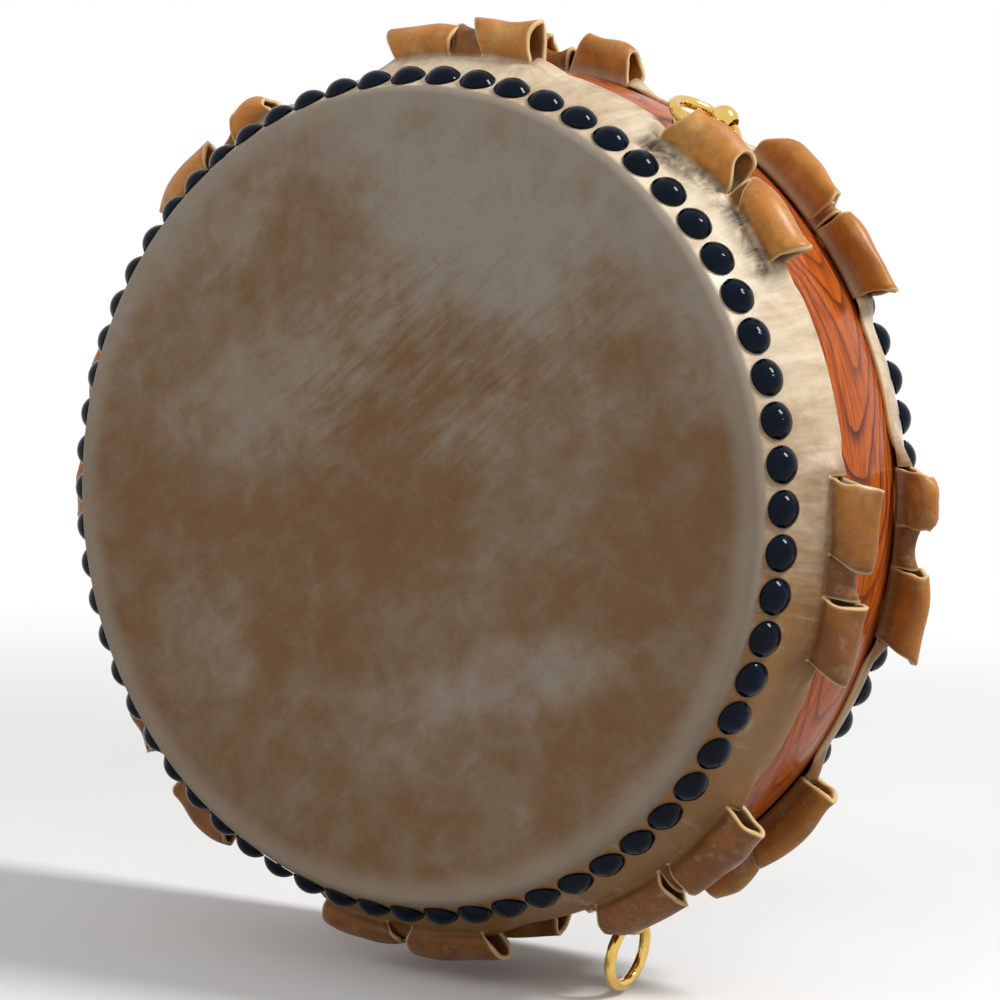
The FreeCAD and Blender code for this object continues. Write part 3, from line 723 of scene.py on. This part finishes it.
def shapeHide(mesh, side, pairs, along):
    knots = endColumns(pairs)
    slitHide(mesh, along, {column for column, _ in knots[1:-1]})
    stretches = stretchesOf(pairs)
    earness = mesh.verts.layers.float.new("earness")
    stain = mesh.verts.layers.float.new("stain")
    cutEdge = mesh.verts.layers.float.new("cutEdge")
    recessShade = mesh.verts.layers.float.new("recessShade")
    moves = []
    for vert in mesh.verts:
        if math.hypot(vert.co.x, vert.co.z) < 0.1:      # the middle of the face stays
            continue
        angle = angleOf(round(columnOf(vert.co)) % hide["columns"], knots)
        moves.append((vert, abs(vert.co.y), angle, angle + slitSide(vert)))

    wobble = random.uniform(0, 50)
    for vert, level, angle, sense in moves:
        share = vert[along]
        stretch = stretchAt(stretches, sense % 360)
        kind, pull = stretch[0], stretch[3]
        near, hair = nearEar(stretches, angle % 360)
        drawn = hide["tent"] * near
        sway = noise.noise(Vector((angle * 0.09, wobble, side)))
        crumple = noise.noise(Vector((angle * 0.22, wobble + share * 2.6, side * 3)))
        if share < 0:
            if level > hide["topOfSide"]:
                continue
            climb = smooth((hide["topOfSide"] - level) / (hide["topOfSide"] - hide["root"]))
            newLevel = level + pull * climb * hide["rootPull"]
            rise = drawn * climb
        elif kind == "plain" or share == 0:
            newLevel = level + pull * hide["rootPull"] + hide["edgeWave"] * sway * share
            rise = drawn * (1 - share) ** 2
        else:
            angle, newLevel, lift, height = rolledPoint(stretch, share, angle, side, wobble)
            arch = math.sin(math.pi * share)
            rise = lift + drawn * (1 - share) ** 2 + hide["crumple"] * crumple * arch
            newLevel += pull * (hide["rootPull"] + 0.2 * arch)
            newLevel += (hide["sway"] * sway + 0.0016 * crumple) * arch
            if kind == "strip":
                newLevel -= hide["stripSet"] * arch ** 0.5
            if kind == "foot":
                flat = hide["root"] + (hide["freeEdge"] - hide["root"]) * share + pull * 0.4
                newLevel = flat + (newLevel - flat) * smooth(height / hide["footRise"])
        reach = barrelReach(newLevel, barrel["hideRadius"]) + rise
        if kind in ("ear", "strip"):
            reach -= hide["tuck"] * smooth((share - hide["tuckFrom"]) / (1 - hide["tuckFrom"]))
        turn = math.radians(angle)
        vert.co = (reach * math.cos(turn), side * newLevel, reach * math.sin(turn))

        if share >= 0:
            lifted = smooth(rise / (0.005 if kind == "strip" else 0.010))
            vert[earness] = lifted if kind in ("ear", "strip") else 0.6 * lifted
            # painted shade: full in the set-back strips, faint where the hide tucks under an ear
            under = 0.2 * smooth((share - 0.55) / 0.3) * near
            vert[recessShade] = 1.0 if kind == "strip" and share > 0 else under
        low = 1 - smooth((rise - 0.005) / 0.007)
        away = abs(newLevel - pull - hide["hairLevel"])
        vert[stain] = hair * low * smooth(1 - away / hide["hairWidth"])

    loose = [vert for vert in mesh.verts if vert[along] > -0.5 and not vert.is_boundary]
    for _ in range(2):
        bmesh.ops.smooth_vert(mesh, verts=loose, factor=0.5, use_axis_x=True, use_axis_y=True,
                              use_axis_z=True)
    for vert in mesh.verts:
        if vert.is_boundary:
            vert[cutEdge] = 1.0


# turns a finished bmesh into a piece at the origin
def newPiece(name, mesh, material):
    bmesh.ops.recalc_face_normals(mesh, faces=mesh.faces)
    data = bpy.data.meshes.new(name)
    mesh.to_mesh(data)
    mesh.free()
    data.shade_smooth()
    data.materials.append(material)
    piece = bpy.data.objects.new(name, data)
    bpy.context.collection.objects.link(piece)
    return piece


def makeHide(name, side, pairs, material, end):
    mesh = bmesh.new()
    along = mesh.verts.layers.float.new("along")
    spinOutline(mesh, side, along)
    shapeHide(mesh, side, pairs, along)
    piece = newPiece(name, mesh, material)
    wall = piece.modifiers.new("wall", "SOLIDIFY")
    wall.thickness = hide["thickness"]
    wall.offset = -1
    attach(piece, "root")
    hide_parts(f"{end}_head", f"{end}_ears")


makeHide("frontHide", -1, frontPairs, frontHideLook, "front")
makeHide("rearHide", 1, rearPairs, rearHideLook, "rear")
print("hides made")


escutcheon = {
    "firstAngle": 55, "spacing": 120,      # degrees round the drum
    "columns": 128,
    # reach from the bolt and height above the wood, round the section
    "section": [
        (0.0043, 0.0003), (0.0043, 0.0036), (0.0048, 0.00395), (0.0074, 0.00395),
        (0.0081, 0.0034), (0.0084, 0.0025), (0.0092, 0.0024), (0.0102, 0.0031),
        (0.0125, 0.0037), (0.0150, 0.0036), (0.0175, 0.0030), (0.0192, 0.0021),
        (0.0200, 0.0012), (0.0206, 0.0011), (0.0232, 0.0011), (0.0238, 0.0015),
        (0.0240, 0.0012), (0.0240, 0.0003),
    ],
    "petals": 16,
    "petalDepth": 0.0009,
    "petalsFrom": 0.0095, "petalsTo": 0.0198,
    "beads": 58,
    "beadCircle": 0.0219,
    "beadRadius": 0.0012,
    "beadHeight": 0.0016,
}


def foldPetals(mesh):
    start, end = escutcheon["petalsFrom"], escutcheon["petalsTo"]
    for vert in mesh.verts:
        reach = math.hypot(vert.co.x, vert.co.y)
        if start < reach < end and vert.co.z > 0.001:      # leaves the underside flat
            fold = abs(math.cos(math.atan2(vert.co.y, vert.co.x) * escutcheon["petals"] / 2))
            full = math.sin(math.pi * (reach - start) / (end - start)) ** 0.5
            vert.co.z += escutcheon["petalDepth"] * full * (fold ** 0.6 - 0.75)


def makeEscutcheon(number):
    mesh = bmesh.new()
    corners = [mesh.verts.new((reach, 0, height)) for reach, height in escutcheon["section"]]
    lines = [mesh.edges.new(pair) for pair in zip(corners, corners[1:] + corners[:1])]
    bmesh.ops.spin(mesh, geom=corners + lines, cent=(0, 0, 0), axis=(0, 0, 1),
                   angle=2 * math.pi, steps=escutcheon["columns"], use_merge=True)
    bmesh.ops.remove_doubles(mesh, verts=mesh.verts, dist=0.000001)
    foldPetals(mesh)
    for bead in range(escutcheon["beads"]):
        turn = 2 * math.pi * bead / escutcheon["beads"]
        place = Matrix.Translation((escutcheon["beadCircle"] * math.cos(turn),
                                    escutcheon["beadCircle"] * math.sin(turn),
                                    escutcheon["beadHeight"]))
        bmesh.ops.create_icosphere(mesh, subdivisions=2, radius=escutcheon["beadRadius"],
                                   matrix=place)
    for vert in mesh.verts:      # lays it on the barrel's side
        side = barrelReach(vert.co.y, barrel["woodRadius"])
        vert.co.z += math.sqrt(side ** 2 - vert.co.x ** 2)
    angle = escutcheon["firstAngle"] + escutcheon["spacing"] * (number - 1)
    bmesh.ops.transform(mesh, matrix=Matrix.Rotation(math.radians(90 - angle), 4, "Y"),
                        verts=mesh.verts)
    piece = newPiece(f"rosette{number}", mesh, gold)
    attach(piece, "root")
    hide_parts(f"escutcheon_{number}")


for number in (1, 2, 3):
    makeEscutcheon(number)
print("escutcheons made")


cadLooks = {"shell": wood, "front_tacks": black, "rear_tacks": black, "eye_bolt": gold,
            "ring": gold, "washer": steel, "nut": steel}

for name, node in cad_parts.items():
    for start, look in cadLooks.items():
        if name.startswith(start):
            for slot in node.material_slots:
                slot.material = look
print("shell, tacks and fittings finished")


studio = {
    "floor": -0.2815, "floorSize": 6,
    # each lamp: place, width, height, power, whether gloss shows it
    "key": ((2.0, 0.45, 2.05), 0.55, 0.85, 80, True),
    "side": ((1.9, -2.2, 1.5), 1.6, 1.6, 14, False),
    "fill": ((-1.5, -2.8, 1.2), 2.4, 2.4, 44, False),
    "worldLight": 0.34,
    "fadeFrom": 0.45, "fadeTo": 2.2,      # the floor pales to white between these
    "paint": (0.86, 0.86, 0.85, 1), "paintSpeckle": (0.89, 0.89, 0.88, 1),
    "bounce": (0.42, 0.42, 0.41, 1),      # the floor as the drum's underside is lit by it
}


def addLamp(name):
    place, width, height, power, shown = studio[name]
    lamp = bpy.data.lights.new(name, "AREA")
    lamp.shape = "RECTANGLE"
    lamp.size = width
    lamp.size_y = height
    lamp.energy = power
    holder = bpy.data.objects.new(name, lamp)
    holder.location = place
    holder.rotation_euler = (-Vector(place)).to_track_quat("-Z", "Y").to_euler()
    holder.visible_glossy = shown
    bpy.context.collection.objects.link(holder)


# 1 for the rays that show the background: to the camera, in gloss and through glass
def backgroundRays(tree):
    rays = addNode(tree, "ShaderNodeLightPath")
    seen = mathNode(tree, "MAXIMUM", rays.outputs["Is Camera Ray"], rays.outputs["Is Glossy Ray"])
    return mathNode(tree, "MAXIMUM", seen, rays.outputs["Is Transmission Ray"])


def makeWorld():
    world = bpy.data.worlds.new("studio")
    world.use_nodes = True
    bpy.context.scene.world = world
    tree = world.node_tree
    tree.nodes.clear()
    level = mathNode(tree, "MAXIMUM", backgroundRays(tree), studio["worldLight"])
    background = addNode(tree, "ShaderNodeBackground", {"Color": (1, 1, 1, 1), "Strength": level})
    addNode(tree, "ShaderNodeOutputWorld", {"Surface": background.outputs[0]})


def floorMaterial():
    material, tree, shader, place = newMaterial("paleFloor")
    speckle = mapRange(tree, noiseOf(tree, place, 3.0, 2.0, 0.5), 0.3, 0.7)
    seen = backgroundRays(tree)
    paint = mixColour(tree, speckle, studio["paint"], studio["paintSpeckle"])
    plug(tree, shader, {
        "Base Color": mixColour(tree, seen, studio["bounce"], paint),
        "Roughness": 0.8, "Specular IOR Level": 0.2,
    })
    links = {0: place}
    reach = addNode(tree, "ShaderNodeVectorMath", links, operation="LENGTH").outputs["Value"]
    away = mapRange(tree, reach, studio["fadeFrom"], studio["fadeTo"])
    glow = addNode(tree, "ShaderNodeEmission", {"Color": (1, 1, 1, 1), "Strength": 1.0})
    blend = addNode(tree, "ShaderNodeMixShader", {0: mathNode(tree, "MULTIPLY", away, seen),
                    1: shader.outputs[0], 2: glow.outputs[0]})
    surface = next(node for node in tree.nodes if node.type == "OUTPUT_MATERIAL")
    plug(tree, surface, {"Surface": blend.outputs[0]})
    return material


def makeFloor():
    mesh = bmesh.new()
    bmesh.ops.create_grid(mesh, x_segments=1, y_segments=1, size=studio["floorSize"])
    bmesh.ops.translate(mesh, verts=mesh.verts, vec=(0, 0, studio["floor"]))
    data = bpy.data.meshes.new("floor")
    mesh.to_mesh(data)
    mesh.free()
    data.materials.append(floorMaterial())
    floor = bpy.data.objects.new("floor", data)
    bpy.context.collection.objects.link(floor)


for name in ("key", "side", "fill"):
    addLamp(name)
makeWorld()
makeFloor()
print("studio made")


camera = {
    "place": (0.8811, -1.3925, 0.0984),
    "forward": (-0.5282, 0.8468, -0.0620),
    "up": (-0.0590, 0.0362, 0.9976),
    "lens": 101.8, "sensor": 36, "clipEnd": 50,
}


def makeCamera():
    lens = bpy.data.cameras.new("camera")
    lens.lens = camera["lens"]
    lens.sensor_width = camera["sensor"]
    lens.clip_end = camera["clipEnd"]
    eye = bpy.data.objects.new("camera", lens)
    back = -Vector(camera["forward"]).normalized()
    right = Vector(camera["up"]).cross(back).normalized()
    turn = Matrix((right, back.cross(right), back)).transposed().to_4x4()
    eye.matrix_world = Matrix.Translation(camera["place"]) @ turn
    bpy.context.collection.objects.link(eye)
    bpy.context.scene.camera = eye


makeCamera()
bpy.context.scene.view_settings.view_transform = "Standard"
print("scene ready")
